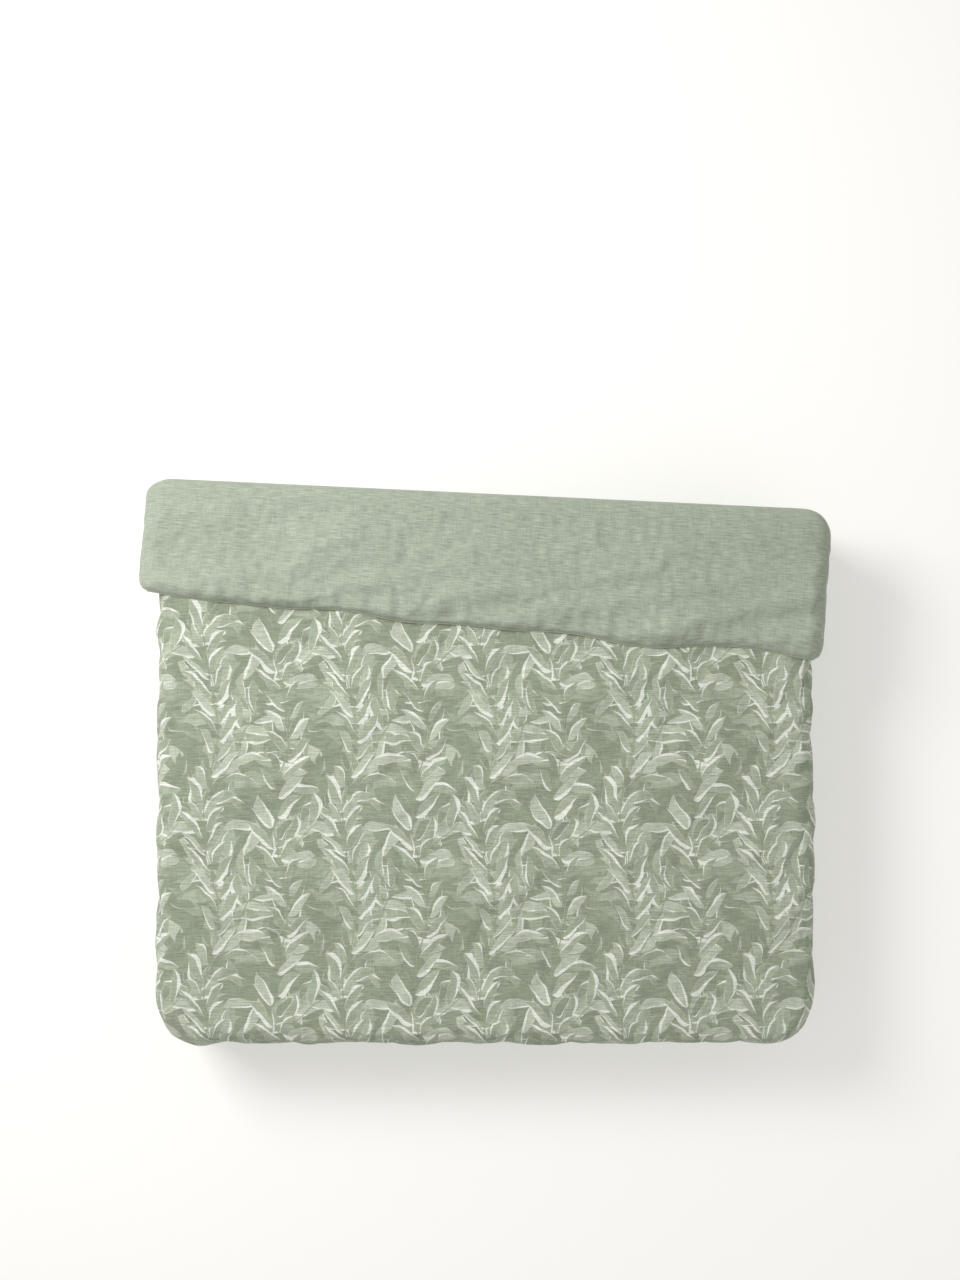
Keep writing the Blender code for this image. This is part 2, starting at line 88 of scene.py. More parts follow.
CREASE = np.array(joints["crease_fold"]["pos_m"])
CREASE_AXIS = np.array(joints["crease_fold"]["axis"])
TILT = math.asin(CREASE_AXIS[1])
HEADWARD = np.array([math.sin(TILT), math.cos(TILT), 0.0])
TURN_BACK_DEPTH = 0.300

CORNER_RADIUS = 0.090
EDGE_RADIUS = 0.025
LOFT = TOP_OUTER - TOP_INNER
SIDE_LOFT = HALF_OUTER - HALF_INNER
SKIRT_LENGTH = 0.46
CORE_HALF = HALF_INNER - CORNER_RADIUS
CORE_FOOT = FOOT_OUTER + SIDE_LOFT + CORNER_RADIUS
print(f"over the bed {2 * HALF_OUTER:.3f} m wide, crease tilted {math.degrees(TILT):.1f} degrees")


def crease_y(x):
    """The y of the crease, a straight line that drops to the right, at x."""
    return CREASE[1] - x * math.tan(TILT)


def hem_y(x):
    """The y of the turned-back hem at x: folding doubles the crease's slant."""
    return CREASE[1] - TURN_BACK_DEPTH - x * math.tan(2 * TILT)


# %% [markdown]
# ## Smooth unevenness
#
# Cloth over filling is never flat. A sum of a few dozen plane waves, each with its own direction
# and phase, is smooth, costs one array operation, and depends only on its seed, so two pieces
# that share an edge get the same value there.


# %% Ripples
def ripples(u, v, length, seed, count=24, squeeze=1.0):
    """Smooth unevenness of about unit size: plane waves near one length in metres, random ways.

    squeeze above 1 shortens the waves along v, which makes ridges that run along u.
    """
    draw = np.random.default_rng(seed)
    total = np.zeros(np.shape(u))
    for _ in range(count):
        way = draw.uniform(0, math.pi)
        wave = 2 * math.pi / (length * draw.uniform(0.7, 1.6))
        phase = draw.uniform(0, 2 * math.pi)
        total = total + np.cos(wave * (u * math.cos(way) + squeeze * v * math.sin(way)) + phase)
    return total / math.sqrt(count / 2)


def smooth(x, low, high):
    """0 below low, 1 above high, and an even S-curve between them."""
    t = np.clip((np.asarray(x, float) - low) / (high - low), 0, 1)
    return t * t * (3 - 2 * t)


# %% [markdown]
# ## From arrays to meshes
#
# Every surface is a grid of points. Its faces are made from an array of point numbers, so the
# same helper serves a plain sheet and the bed shell, whose corner fans meet in one point.


# %% Mesh helpers
def faces_of(numbers):
    """Quads between neighbours in an array of point numbers, and triangles where two are one."""
    a, b = numbers[:-1, :-1].ravel(), numbers[:-1, 1:].ravel()
    c, d = numbers[1:, 1:].ravel(), numbers[1:, :-1].ravel()
    quads = np.stack([a, b, c, d], 1)
    pinched = (a == b) | (c == d)
    triangles = np.where((a == b)[:, None], np.stack([a, c, d], 1), np.stack([a, b, c], 1))
    return quads[~pinched].tolist() + triangles[pinched].tolist()


HEAD_CORNER = 0.045
HEAD_EASE = 0.24
HEAD_SIDE = 0.870
NEARLY_ONE = 0.98


def ease_head_corners(points):
    """The points with the head end's two corners rounded, as seen from above.

    Beyond HEAD_SIDE - HEAD_CORNER from the middle, a point goes back towards the foot by what a
    quarter circle falls, fading out over HEAD_EASE from the crease. All pieces take the same
    shift, so what lies inside another piece stays inside it. Folding out mirrors the rounding, so
    a larger one opens a gap down the right side in that pose.
    """
    eased = np.array(points, float)
    beyond = np.clip((np.abs(eased[:, 0]) - HEAD_SIDE) / HEAD_CORNER + 1, 0, 1)
    fall = HEAD_CORNER * (1 - np.sqrt(1 - NEARLY_ONE * beyond**2))
    behind = crease_y(eased[:, 0]) - eased[:, 1]
    eased[:, 1] -= fall * (1 - smooth(behind, 0, HEAD_EASE))
    return eased


def make_piece(name, points, faces, uv=None, smooth_levels=0):
    """A mesh object from points and faces, with an optional flat UV in metres."""
    mesh = bpy.data.meshes.new(name)
    mesh.from_pydata(ease_head_corners(points).tolist(), [], faces)
    mesh.update()
    if uv is not None:
        corner = np.zeros(len(mesh.loops), np.int32)
        mesh.loops.foreach_get("vertex_index", corner)
        layer = mesh.uv_layers.new(name="cloth")
        layer.data.foreach_set("uv", uv[corner].astype(np.float32).ravel())
    mesh.polygons.foreach_set("use_smooth", np.ones(len(mesh.polygons), bool))
    piece = bpy.data.objects.new(name, mesh)
    bpy.context.scene.collection.objects.link(piece)
    if smooth_levels:
        refine = piece.modifiers.new("refine", "SUBSURF")
        refine.levels = smooth_levels
        refine.render_levels = smooth_levels
        refine.boundary_smooth = "PRESERVE_CORNERS"
    print(f"{name}: {len(points)} points, {len(faces)} faces")
    return piece


def points_of(mesh):
    """A mesh's points as an array."""
    flat = np.zeros(len(mesh.vertices) * 3, np.float32)
    mesh.vertices.foreach_get("co", flat)
    return flat.reshape(-1, 3).astype(float)


# %% [markdown]
# ## The shell over the bed
#
# Seen from above, the bed is a rectangle with two rounded corners at the foot. The shell is a
# flat core and a skirt. A skirt point starts on the core's edge and moves outwards along the
# edge's normal: flat first, then over the rounded mattress edge, then down to the hem. At the two
# corners all the skirt's stations start in one point and fan out, which keeps the cloth's own
# coordinates even there.


# %% The shell's grid
EDGE_EXTRA = 0.09


def skirt_profile(half, top, edge_across, edge_down, tuck, step):
    """Out from the core, over the edge, down to the hem and in by tuck.

    Gives rows of out, z, arc length and section.
    section is 0 to 1 on the flat, 1 to 2 round the edge and 2 to 3 down the side. The edge gets the
    rows of EDGE_EXTRA more metres of cloth than it has, so that it stays round.
    """
    reach = half - CORE_HALF
    flat_end = reach - edge_across
    tuck_height = 0.035
    turn = np.linspace(0, math.pi / 2, 25)[1:]
    down = np.linspace(top - edge_down, HEM_Z, 90)[1:]
    low = np.clip((tuck_height - down) / tuck_height, 0, 1)
    inwards = tuck * (1 - np.sqrt(1 - low**2 * 0.999))
    out = np.concatenate([[0, flat_end], flat_end + edge_across * np.sin(turn), reach - inwards])
    z = np.concatenate([[top, top], top - edge_down + edge_down * np.cos(turn), down])
    section = np.concatenate([[0, 1], 1 + turn / (math.pi / 2), 2 + np.linspace(0, 1, 90)[1:]])
    along = np.concatenate([[0], np.cumsum(np.hypot(np.diff(out), np.diff(z)))])
    density = along + EDGE_EXTRA * np.clip(section - 1, 0, 1)
    even = np.linspace(0, density[-1], round(SKIRT_LENGTH / step) + 1)
    return [np.interp(even, density, values) for values in (out, z, along, section)]


def bed_shell(half, top, edge, tuck, step):
    """The core and skirt as points, flat UV, faces and the number arrays of core and skirt."""
    out, z, along, section = skirt_profile(half, top, edge[0], edge[1], tuck, step)
    columns = round(2 * CORE_HALF / step) + 1
    rows = round((CREASE[1] - CORE_FOOT) / step) + 1
    fan = max(6, round(0.17 / step))
    up = np.linspace(0, 1, rows)
    across = np.linspace(-CORE_HALF, CORE_HALF, columns)
    core_x, core_t = np.meshgrid(across, up)
    core_y = CORE_FOOT + core_t * (crease_y(core_x) - CORE_FOOT)
    core = np.arange(core_x.size).reshape(core_x.shape)

    turn = np.linspace(0, math.pi / 2, fan + 1)[1:-1]
    left = [(-CORE_HALF, t, -1.0, 0.0, core[i, 0]) for i, t in reversed(list(enumerate(up)))]
    left_fan = [(-CORE_HALF, 0.0, -math.cos(a), -math.sin(a), core[0, 0]) for a in turn]
    foot = [(x, 0.0, 0.0, -1.0, core[0, i]) for i, x in enumerate(across)]
    right_fan = [(CORE_HALF, 0.0, math.sin(a), -math.cos(a), core[0, -1]) for a in turn]
    right = [(CORE_HALF, t, 1.0, 0.0, core[i, -1]) for i, t in enumerate(up)]
    stations = np.array(left + left_fan + foot + right_fan + right)
    base_x, base_t, way_x, way_y, first = stations.T

    skirt_x = base_x + way_x * out[1:, None]
    leg_y = CORE_FOOT + base_t * (crease_y(skirt_x) - CORE_FOOT)
    skirt_y = np.where(np.abs(way_x) == 1.0, leg_y, CORE_FOOT + way_y * out[1:, None])
    skirt_z = np.broadcast_to(z[1:, None], skirt_x.shape)
    skirt = core.size + np.arange(skirt_x.size).reshape(skirt_x.shape)
    numbers = np.vstack([first.astype(int)[None], skirt])

    flat_u = base_x + way_x * along[1:, None]
    flat_v = np.where(np.abs(way_x) == 1.0, leg_y, CORE_FOOT + way_y * along[1:, None])
    core_points = np.stack([core_x.ravel(), core_y.ravel(), np.full(core_x.size, z[0])], 1)
    skirt_points = np.stack([skirt_x.ravel(), skirt_y.ravel(), skirt_z.ravel()], 1)
    points = np.vstack([core_points, skirt_points])
    core_uv = np.stack([core_x.ravel(), core_y.ravel()], 1)
    uv = np.vstack([core_uv, np.stack([flat_u.ravel(), flat_v.ravel()], 1)])
    drop = np.concatenate([np.zeros(core.size), np.repeat(along[1:], skirt_x.shape[1])])
    faces = faces_of(core) + faces_of(numbers[:, ::-1])
    girth = np.concatenate([[0], np.cumsum(np.hypot(*np.diff(points[skirt[-1], :2], axis=0).T))])
    return {
        "points": points,
        "uv": uv,
        "faces": faces,
        "core": core,
        "numbers": numbers,
        "section": section,
        "drop": drop,
        "way": np.stack([way_x, way_y], 1),
        "girth": girth,
        "rim": float(np.interp(1.0, section, along)),
    }


# %% [markdown]
# ## How the cloth hangs
#
# The skirt is cut from a flat rectangle, so it has cloth to spare at the two foot corners, and
# that falls in deep upright folds. Along the straight sides the folds are shallow. They start
# below the rim and grow towards the hem. The top keeps a soft unevenness from the filling.

# %% Folds of the skirt
STEP = 0.0135
CORNER_FOLD = 0.026
CORNER_FOLD_LENGTH = 0.105
SIDE_FOLD = 0.009
FLARE = 0.014
WAVE_LONG = 0.21
WAVE_SHORT = 0.11
CORNER_SPREAD = 0.135
SKIRT_DROP = 0.36
PLACKET_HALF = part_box("foot_button_placket")[1].x


def corner_middles(shell):
    """The places along the hem of the middles of the two foot corners."""
    girth = shell["girth"]
    slant = np.abs(shell["way"][:, 0] * shell["way"][:, 1])
    half = len(girth) // 2
    return girth[np.argmax(slant[:half])], girth[half + np.argmax(slant[half:])]


def hang(shell, outward_only):
    """How far each skirt point stands out, from folds, corner folds and flare."""
    girth = shell["girth"][None]
    drop = shell["drop"][shell["numbers"][1:]] - shell["rim"]
    grow = smooth(drop, 0.0, SKIRT_DROP)
    lines = ripples(girth, girth * 0, WAVE_LONG, 5, count=16)
    lines = lines + 0.5 * ripples(girth, girth * 0, WAVE_SHORT, 6, count=12)
    wave = SIDE_FOLD * lines * grow
    wave = wave + 0.35 * SIDE_FOLD * ripples(girth, drop * 0.6, 0.17, 8) * smooth(drop, 0.02, 0.12)
    corners = np.zeros_like(wave)
    near_corner = np.zeros_like(girth)
    for middle in corner_middles(shell):
        away = girth - middle
        envelope = np.exp(-((away / CORNER_SPREAD) ** 2))
        fold = np.cos(2 * math.pi * away / CORNER_FOLD_LENGTH + 0.5) * 0.9 + 0.25
        corners = corners + CORNER_FOLD * fold * envelope * smooth(drop, 0.03, 0.30)
        near_corner = np.maximum(near_corner, envelope)
    # towards the foot the sides stand out a little further
    footward = -shell["points"][shell["numbers"][1:]][..., 1]
    flare = FLARE * smooth(footward, -0.35, 0.55) * smooth(drop, 0.0, 0.16)
    if outward_only:
        inside = 0.6 * np.clip(wave, 0, None) * near_corner + 0.7 * np.clip(corners, 0, None)
        on_placket = np.abs(shell["points"][shell["numbers"][1:]][..., 0]) < PLACKET_HALF + 0.004
        return np.where(on_placket, 0.0, inside)
    return wave + corners + flare


def shaped(shell, top_soft, outward_only=False):
    """The shell's points with the skirt's folds and the soft top."""
    points = shell["points"].copy()
    stand = hang(shell, outward_only)
    numbers = shell["numbers"][1:]
    points[numbers.ravel(), :2] += (stand[..., None] * shell["way"][None]).reshape(-1, 2)
    u, v = shell["uv"].T
    swell = 0.6 * ripples(u, v, 0.34, 11) + 0.4 * ripples(u, v, 0.13, 12)
    ahead = hem_y(points[:, 0]) - points[:, 1]
    flat = 1 - smooth(shell["drop"], shell["rim"] - 0.03, shell["rim"] + 0.06)
    points[:, 2] += top_soft * (swell * smooth(ahead, -0.02, 0.10) - 0.3) * flat
    if not outward_only:
        # legs end on the crease plane whatever their folds do
        for column in (0, -1):
            picked = numbers[:, column]
            points[picked, 1] = crease_y(points[picked, 0])
    return points


# %% [markdown]
# ## Letting the cloth settle
#
# The cover is cut a little fuller than the insert, so it lies with slack. A short cloth simulation
# of the printed panel and of the turned-back reverse finds where that slack goes: the cloth grows
# slightly, a little pressure keeps it off the insert, weak springs hold it near its shape, and its
# seams stay where they are.

# %% Cloth simulation
SLACK = 0.022
SETTLE_FRAMES = 16
SINK_LIMIT = 0.0025
RISE_LIMIT = 0.008
CLOTH = {
    "quality": 5,
    "mass": 0.25,
    "tension_stiffness": 18,
    "compression_stiffness": 18,
    "shear_stiffness": 6,
    "bending_stiffness": 0.35,
    "vertex_group_mass": "held",
    "pin_stiffness": 0.5,
    "shrink_min": -SLACK,
    "use_pressure": True,
    "uniform_pressure_force": 0.35,
}


def settle(piece, sewn, hold=0.22):
    """Simulates a sheet's slack and keeps the result, within the limits in and out of its shape."""
    trial = bpy.data.objects.new("settling_cloth", piece.data.copy())
    bpy.context.scene.collection.objects.link(trial)
    group = trial.vertex_groups.new(name="held")
    everywhere = np.setdiff1d(np.arange(len(piece.data.vertices)), sewn)
    group.add([int(number) for number in everywhere], hold, "REPLACE")
    group.add([int(number) for number in sewn], 1.0, "REPLACE")
    cloth = trial.modifiers.new("Cloth", "CLOTH")
    cloth.point_cache.frame_start = 1
    cloth.point_cache.frame_end = SETTLE_FRAMES
    for setting, value in CLOTH.items():
        setattr(cloth.settings, setting, value)
    cloth.settings.effector_weights.gravity = 0
    for frame_number in range(1, SETTLE_FRAMES + 1):
        bpy.context.scene.frame_set(frame_number)
    before = points_of(piece.data)
    after = points_of(trial.evaluated_get(bpy.context.evaluated_depsgraph_get()).data)
    normals = np.zeros(before.size, np.float32)
    piece.data.vertices.foreach_get("normal", normals)
    normals = normals.reshape(-1, 3)
    moved = after - before
    outward = (moved * normals).sum(1)
    along = moved - normals * outward[:, None]
    size = np.linalg.norm(along, axis=1, keepdims=True)
    along *= np.minimum(1, RISE_LIMIT / np.maximum(size, 1e-9))
    result = before + along + normals * np.clip(outward, -SINK_LIMIT, RISE_LIMIT)[:, None]
    piece.data.vertices.foreach_set("co", result.astype(np.float32).ravel())
    piece.data.update()
    bpy.context.scene.frame_set(1)
    bpy.data.objects.remove(trial)
    print(f"{piece.name} settled: moved {outward.min() * 1e3:.1f} to {outward.max() * 1e3:.1f} mm")


# %% The printed top panel
shell = bed_shell(HALF_OUTER, TOP_OUTER, (EDGE_RADIUS + SIDE_LOFT, EDGE_RADIUS + LOFT), 0.014, STEP)
top_points = shaped(shell, 0.0035)
cover_top = make_piece("duvet_cover_top", top_points, shell["faces"], shell["uv"], smooth_levels=1)
head_line = np.concatenate([shell["numbers"][1:, 0], shell["core"][-1], shell["numbers"][1:, -1]])
settle(cover_top, np.unique(np.concatenate([head_line, shell["numbers"][-2:].ravel()])))
print(f"printed panel over the bed: {np.ptp(shell['uv'], axis=0).round(3)} m flat")

# %% The plain reverse panel and its half of the fold
inner = bed_shell(HALF_INNER, TOP_INNER, (EDGE_RADIUS, EDGE_RADIUS), 0.0, 2 * STEP)
inner_points = shaped(inner, 0.0, outward_only=True)

QUARTER = np.linspace(0, math.pi / 2, 9)
SIDE_AXES = {name: np.array(joints[f"{name}_side_fold"]["pos_m"]) for name in ("left", "right")}


def head_section(section, side_x, top, round_across, round_down, bottom=HEM_Z):
    """(x, z) across half the head end: 0 to 1 flat, to 2 round the edge, to 3 down to bottom."""
    flat = np.clip(section, 0, 1)
    turn = np.clip(section - 1, 0, 1) * math.pi / 2
    down = np.clip(section - 2, 0, 1)
    x = flat * (side_x - round_across) + round_across * np.sin(turn)
    z = top - round_down * (1 - np.cos(turn)) - down * (top - round_down - bottom)
    return x, z


SIDE_NOSE = 0.014
# the lower roll laps a little under the upper one, so that no gap opens at the nose
ROLL_TURNS = np.append(QUARTER[1:], math.pi / 2 + 0.14)
LAP_SHRINK = 0.97


def nose_middle(section, side):
    """The middle of the fold at the head end, and how far its nose reaches, along the section.

    The fold is round on top of the bed and flatter where it hangs.
    """
    outer_x = abs(SIDE_AXES[side][0]) + SIDE_LOFT
    side_radius = (outer_x - HALF_INNER) / 2
    x, z = head_section(section, HALF_INNER + side_radius, CREASE[2], 0.045, 0.045)
    radius = LOFT + (SIDE_NOSE - LOFT) * smooth(section, 1, 2)
    return x, z, radius


def lower_roll(shell, points):
    """The reverse panel's head edge, and rows of points from it round to the fold's nose.

    Each row turns the edge a little further about the middle of the fold, towards the head.
    """
    core, numbers, section = shell["core"], shell["numbers"], shell["section"]
    flat_end = HALF_INNER - EDGE_RADIUS
    core_levels = np.abs(shell["points"][core[-1], 0]) / flat_end
    skirt_flat = (CORE_HALF + section * (flat_end - CORE_HALF)) / flat_end
    skirt_levels = np.where(section < 1, skirt_flat, section)[1:]
    edge = np.concatenate([numbers[:0:-1, 0], core[-1], numbers[1:, -1]])
    levels = np.concatenate([skirt_levels[::-1], core_levels, skirt_levels])
    start = points[edge]
    is_left = start[:, 0] < 0
    left_x, middle_z, left_radius = nose_middle(levels, "left")
    right_x, _, right_radius = nose_middle(levels, "right")
    middle_x = np.where(is_left, -left_x, right_x)
    radius = np.where(is_left, left_radius, right_radius)
    middle = np.stack([middle_x, crease_y(middle_x), middle_z], 1)
    turns = ROLL_TURNS[:, None, None]
    rolled = (start - middle) * np.cos(turns) + HEADWARD * radius[:, None] * np.sin(turns)
    rolled[-1] *= LAP_SHRINK
    return edge, middle + rolled


edge, rolled = lower_roll(inner, inner_points)
roll_rows = len(inner_points) + np.arange(rolled[..., 0].size).reshape(rolled.shape[:2])
roll_faces = faces_of(np.vstack([edge[None], roll_rows]))
flat_rows = inner["uv"][edge][None] + np.stack([0 * ROLL_TURNS, ROLL_TURNS * LOFT], 1)[:, None]
cover_reverse = make_piece(
    "duvet_cover_reverse",
    np.vstack([inner_points, rolled.reshape(-1, 3)]),
    [face[::-1] for face in inner["faces"]] + [face[::-1] for face in roll_faces],
    np.vstack([inner["uv"], flat_rows.reshape(-1, 2)]),
    smooth_levels=1,
)


# %% [markdown]
# ## The insert
#
# Inside the cover lies the insert: two tickings sewn through a batt in a grid of squares, with a
# bound edge. Its upper and lower faces meet at the hem and at the crease, so it is one closed
# padded piece. The sewn lines pull it in, which gives each square its crown.

# %% Insert over the bed
QUILT_PITCH = 0.300
INSERT_CLEAR = 0.005


def quilting(u, v):
    """0 on the sewn lines of the quilt's grid and 1 in the middle of its squares."""
    return np.sqrt(np.abs(np.sin(math.pi * u / QUILT_PITCH) * np.sin(math.pi * v / QUILT_PITCH)))


def closed_pad(name, upper, lower, faces, rim_loop):
    """A closed piece from two layers with the same point numbers and the loop round their rim."""
    count = len(upper)
    around = np.append(rim_loop, rim_loop[0])
    wall = faces_of(np.stack([around, around + count]))
    under = [[number + count for number in face[::-1]] for face in faces]
    piece = make_piece(name, np.vstack([upper, lower]), faces + under + wall)
    shell_mesh = bmesh.new()
    shell_mesh.from_mesh(piece.data)
    bmesh.ops.recalc_face_normals(shell_mesh, faces=shell_mesh.faces)
    shell_mesh.to_mesh(piece.data)
    shell_mesh.free()
    return piece


def shell_rim(shell):
    """The point numbers round a shell: up the left leg, over the head, down and along the hem."""
    numbers = shell["numbers"]
    return np.concatenate(
        [numbers[:0:-1, 0], shell["core"][-1], numbers[1:, -1], numbers[-1, -2:0:-1]]
    )


pad_half, pad_height = HALF_OUTER - INSERT_CLEAR, TOP_OUTER - 2 * INSERT_CLEAR
pad_out = bed_shell(pad_half, pad_height, (0.044, 0.050), 0.006, 2 * STEP)
pad_half, pad_height = HALF_INNER + INSERT_CLEAR / 2, TOP_INNER + INSERT_CLEAR
pad_in = bed_shell(pad_half, pad_height, (0.028, 0.028), 0.0, 2 * STEP)
pad_top = shaped(pad_out, 0.003)
pad_under = shaped(pad_in, 0.0, outward_only=True)
crown = (1 - quilting(*pad_out["uv"].T))[:, None]
pad_top = pad_top + (pad_under - pad_top) * (0.10 + 0.25 * crown)
insert = closed_pad("duvet_insert", pad_top, pad_under, pad_out["faces"], shell_rim(pad_out))


# %% [markdown]
# ## Seams
#
# The two panels are joined all round by a narrow welt, the turned seam allowance. It is a small
# round section carried along the line between the two hems.


# %% Welts along the hems
def welt(name, line, radius, sides=8):
    """A closed tube of a small round section along a line of points, capped at both ends."""
    ahead = np.gradient(line, axis=0)
    ahead /= np.linalg.norm(ahead, axis=1)[:, None]
    up = np.array([0.0, 0.0, 1.0]) - ahead * ahead[:, 2:3]
    up /= np.linalg.norm(up, axis=1)[:, None]
    beside = np.cross(ahead, up)
    angles = np.linspace(0, 2 * math.pi, sides, endpoint=False)
    ring = beside[:, None] * np.cos(angles)[:, None] + up[:, None] * np.sin(angles)[:, None]
    points = (line[:, None] + ring * radius).reshape(-1, 3)
    numbers = np.arange(len(points)).reshape(len(line), sides)
    faces = faces_of(np.hstack([numbers, numbers[:, :1]]))
    caps = [numbers[0].tolist(), numbers[-1, ::-1].tolist()]
    return make_piece(name, points, faces + caps)


WELT = 0.0024
outer_hem = top_points[shell["numbers"][-1]]
inner_hem = inner_points[inner["numbers"][-1]]
share = np.linspace(0, 1, len(outer_hem))
inner_share = np.linspace(0, 1, len(inner_hem))
inner_line = np.stack([np.interp(share, inner_share, inner_hem[:, axis]) for axis in range(3)], 1)
hem_line = outer_hem + (inner_line - outer_hem) * 0.12
hem_line[:, 2] = WELT
hem_seam = welt("duvet_hem_seam", hem_line, WELT)
binding_line = (pad_top[pad_out["numbers"][-1]] + pad_under[pad_out["numbers"][-1]]) / 2
binding = welt("insert_binding", binding_line + np.array([0, 0, 0.004]), 0.004)


# %% [markdown]
# ## The turned-back head end
#
# It is the same padded bag, folded over the crease. Its surface is worked out between two cross
# sections: one in the upright plane of the crease and one at the hem. From the nose of the fold
# it rolls up a quarter turn, lies back over the bed, and thins out at the hem. At the sides it
# rounds the edge and hangs down. Each half is one sheet from the flat part round the edge to the
# hanging part.

# %% The turned-back surface
LIFT = 0.0012
RIM_RADIUS = 0.034
SIDE_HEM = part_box("left_side_seam")[0].z
PILLOW_EDGE = 0.040
THIN = 0.16
RIDGES = 0.0042
SWELLS = 0.0028
PUCKERS = 0.0018
SIDE_WAVE = 0.006
SIDE_WAVE_LENGTH = 0.19
HEM_WANDER = 0.006


def hem_side_x(side):
    """How far from the bed's middle a side's axis meets the turned-back hem."""
    start = SIDE_AXES[side]
    along = -np.array(joints[f"{side}_side_fold"]["axis"])
    along = along if along[1] < 0 else -along
    slope = math.tan(2 * TILT)
    reach = (hem_y(start[0]) - start[1]) / (along[1] + slope * along[0])
    return abs(start[0] + reach * along[0])


def fullness(section, reach):
    """1 where the pad is full and THIN at its hem and bottom edge, as a quarter ellipse."""
    from_hem = np.clip((1 - reach) * TURN_BACK_DEPTH / PILLOW_EDGE, 0, 1)
    from_bottom = np.clip((3 - section) * (CREASE[2] - SIDE_HEM) / PILLOW_EDGE, 0, 1)
    full = np.sqrt(1 - (1 - from_hem) ** 2) * np.sqrt(1 - (1 - from_bottom) ** 2)
    return THIN + (1 - THIN) * full


def turn_back(side, section, reach, height):
    """Points of the turn-back, by section (3 bottom), reach (1 hem) and height (1 top)."""
    sign = -1.0 if side == "left" else 1.0
    thick = height * fullness(section, reach)
    top = CREASE[2] + LIFT + thick * (LOFT - LIFT)
    outward = thick * SIDE_LOFT
    places = []
    for side_x, line in ((abs(SIDE_AXES[side][0]), crease_y), (hem_side_x(side), hem_y)):
        round_across = RIM_RADIUS + outward
        round_down = RIM_RADIUS + thick * LOFT
        x, z = head_section(section, side_x + outward, top, round_across, round_down, SIDE_HEM)
        places.append(np.stack([sign * x, line(sign * x), z], -1))
    return places[0] + (places[1] - places[0]) * np.asarray(reach)[..., None]


def section_lengths(step):
    """Section values from the middle to the bottom edge, evenly spaced in true length."""
    fine = np.linspace(0, 3, 900)
    rounding = (RIM_RADIUS + SIDE_LOFT, RIM_RADIUS + LOFT)
    x, z = head_section(fine, 0.85, CREASE[2] + LOFT, *rounding, SIDE_HEM)
    along = np.concatenate([[0], np.cumsum(np.hypot(np.diff(x), np.diff(z)))])
    even = np.linspace(0, along[-1], round(along[-1] / step) + 1)
    return np.interp(even, along, fine), even


def turn_back_relief(points, section, reach):
    """Soft folds of the turned-back part: a few long ridges near the hem and an even unevenness."""
    x, y = points[..., 0], points[..., 1]
    near_hem = smooth(reach, 0.35, 0.8) * (1 - smooth(reach, 0.93, 1.0))
    ridges = ripples(x, y, 0.26, 21, squeeze=2.6)
    rest = ripples(x, y, 0.20, 22)
    flat = 1 - smooth(section, 1.0, 2.0)
    puckers = PUCKERS * ripples(x, 0.35 * y, 0.05, 23) * smooth(reach, 0.74, 0.93)
    puckers = puckers * (1 - smooth(reach, 0.97, 1.0))
    rest = SWELLS * rest * smooth(reach, 0.0, 0.25) * (1 - smooth(reach, 0.9, 1))
    return (RIDGES * ridges * near_hem + rest) * flat + puckers * (1 - smooth(section, 1.0, 1.4))


def wavy_hem(x, reach):
    """How far the turned-back hem wanders along the bed, in metres."""
    return HEM_WANDER * ripples(x, x * 0, 0.34, 31, count=10) * smooth(reach, 0.6, 1.0)


FLAP_STEP = 0.0095
levels, flat_across = section_lengths(FLAP_STEP)
depth_rows = round(TURN_BACK_DEPTH / FLAP_STEP) + 1
reach_rows = 1 - (1 - np.linspace(0, 1, depth_rows)) ** 1.25
halves = {}
for side in ("left", "right"):
    sign = -1.0 if side == "left" else 1.0
    section, reach = np.meshgrid(levels, reach_rows)
    upper = turn_back(side, section, reach, 1.0)
    upper[..., 2] += turn_back_relief(upper, section, reach)
    side_wave = SIDE_WAVE * ripples(upper[..., 1], upper[..., 2], SIDE_WAVE_LENGTH, 41)
    side_wave = side_wave * smooth(section, 2.0, 2.8)
    upper[..., 0] += sign * (side_wave + 0.004 * smooth(section, 2.0, 3.0))
    under = turn_back(side, section, reach, 0.0)
    for layer in (upper, under):
        layer[..., 1] += wavy_hem(layer[..., 0], reach)
    nose_x, nose_z, nose_radius = nose_middle(levels, side)
    middle = np.stack([sign * nose_x, crease_y(sign * nose_x), nose_z], 1)
    turns = QUARTER[::-1, None, None]
    start = upper[0]
    nose = HEADWARD * nose_radius[:, None]
    rolled = middle + (start - middle) * np.cos(turns) + nose * np.sin(turns)
    halves[side] = {"upper": np.vstack([rolled[:-1], upper]), "under": under, "sign": sign}

# %% Sheets and pads of the turned-back end
rolls = QUARTER[::-1][:-1] * LOFT
rows_v = np.concatenate([rolls, -reach_rows * TURN_BACK_DEPTH])


def bend_at_rim(piece):
    """Bakes a piece's placement into its points; it does not bend the piece."""
    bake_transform(piece)


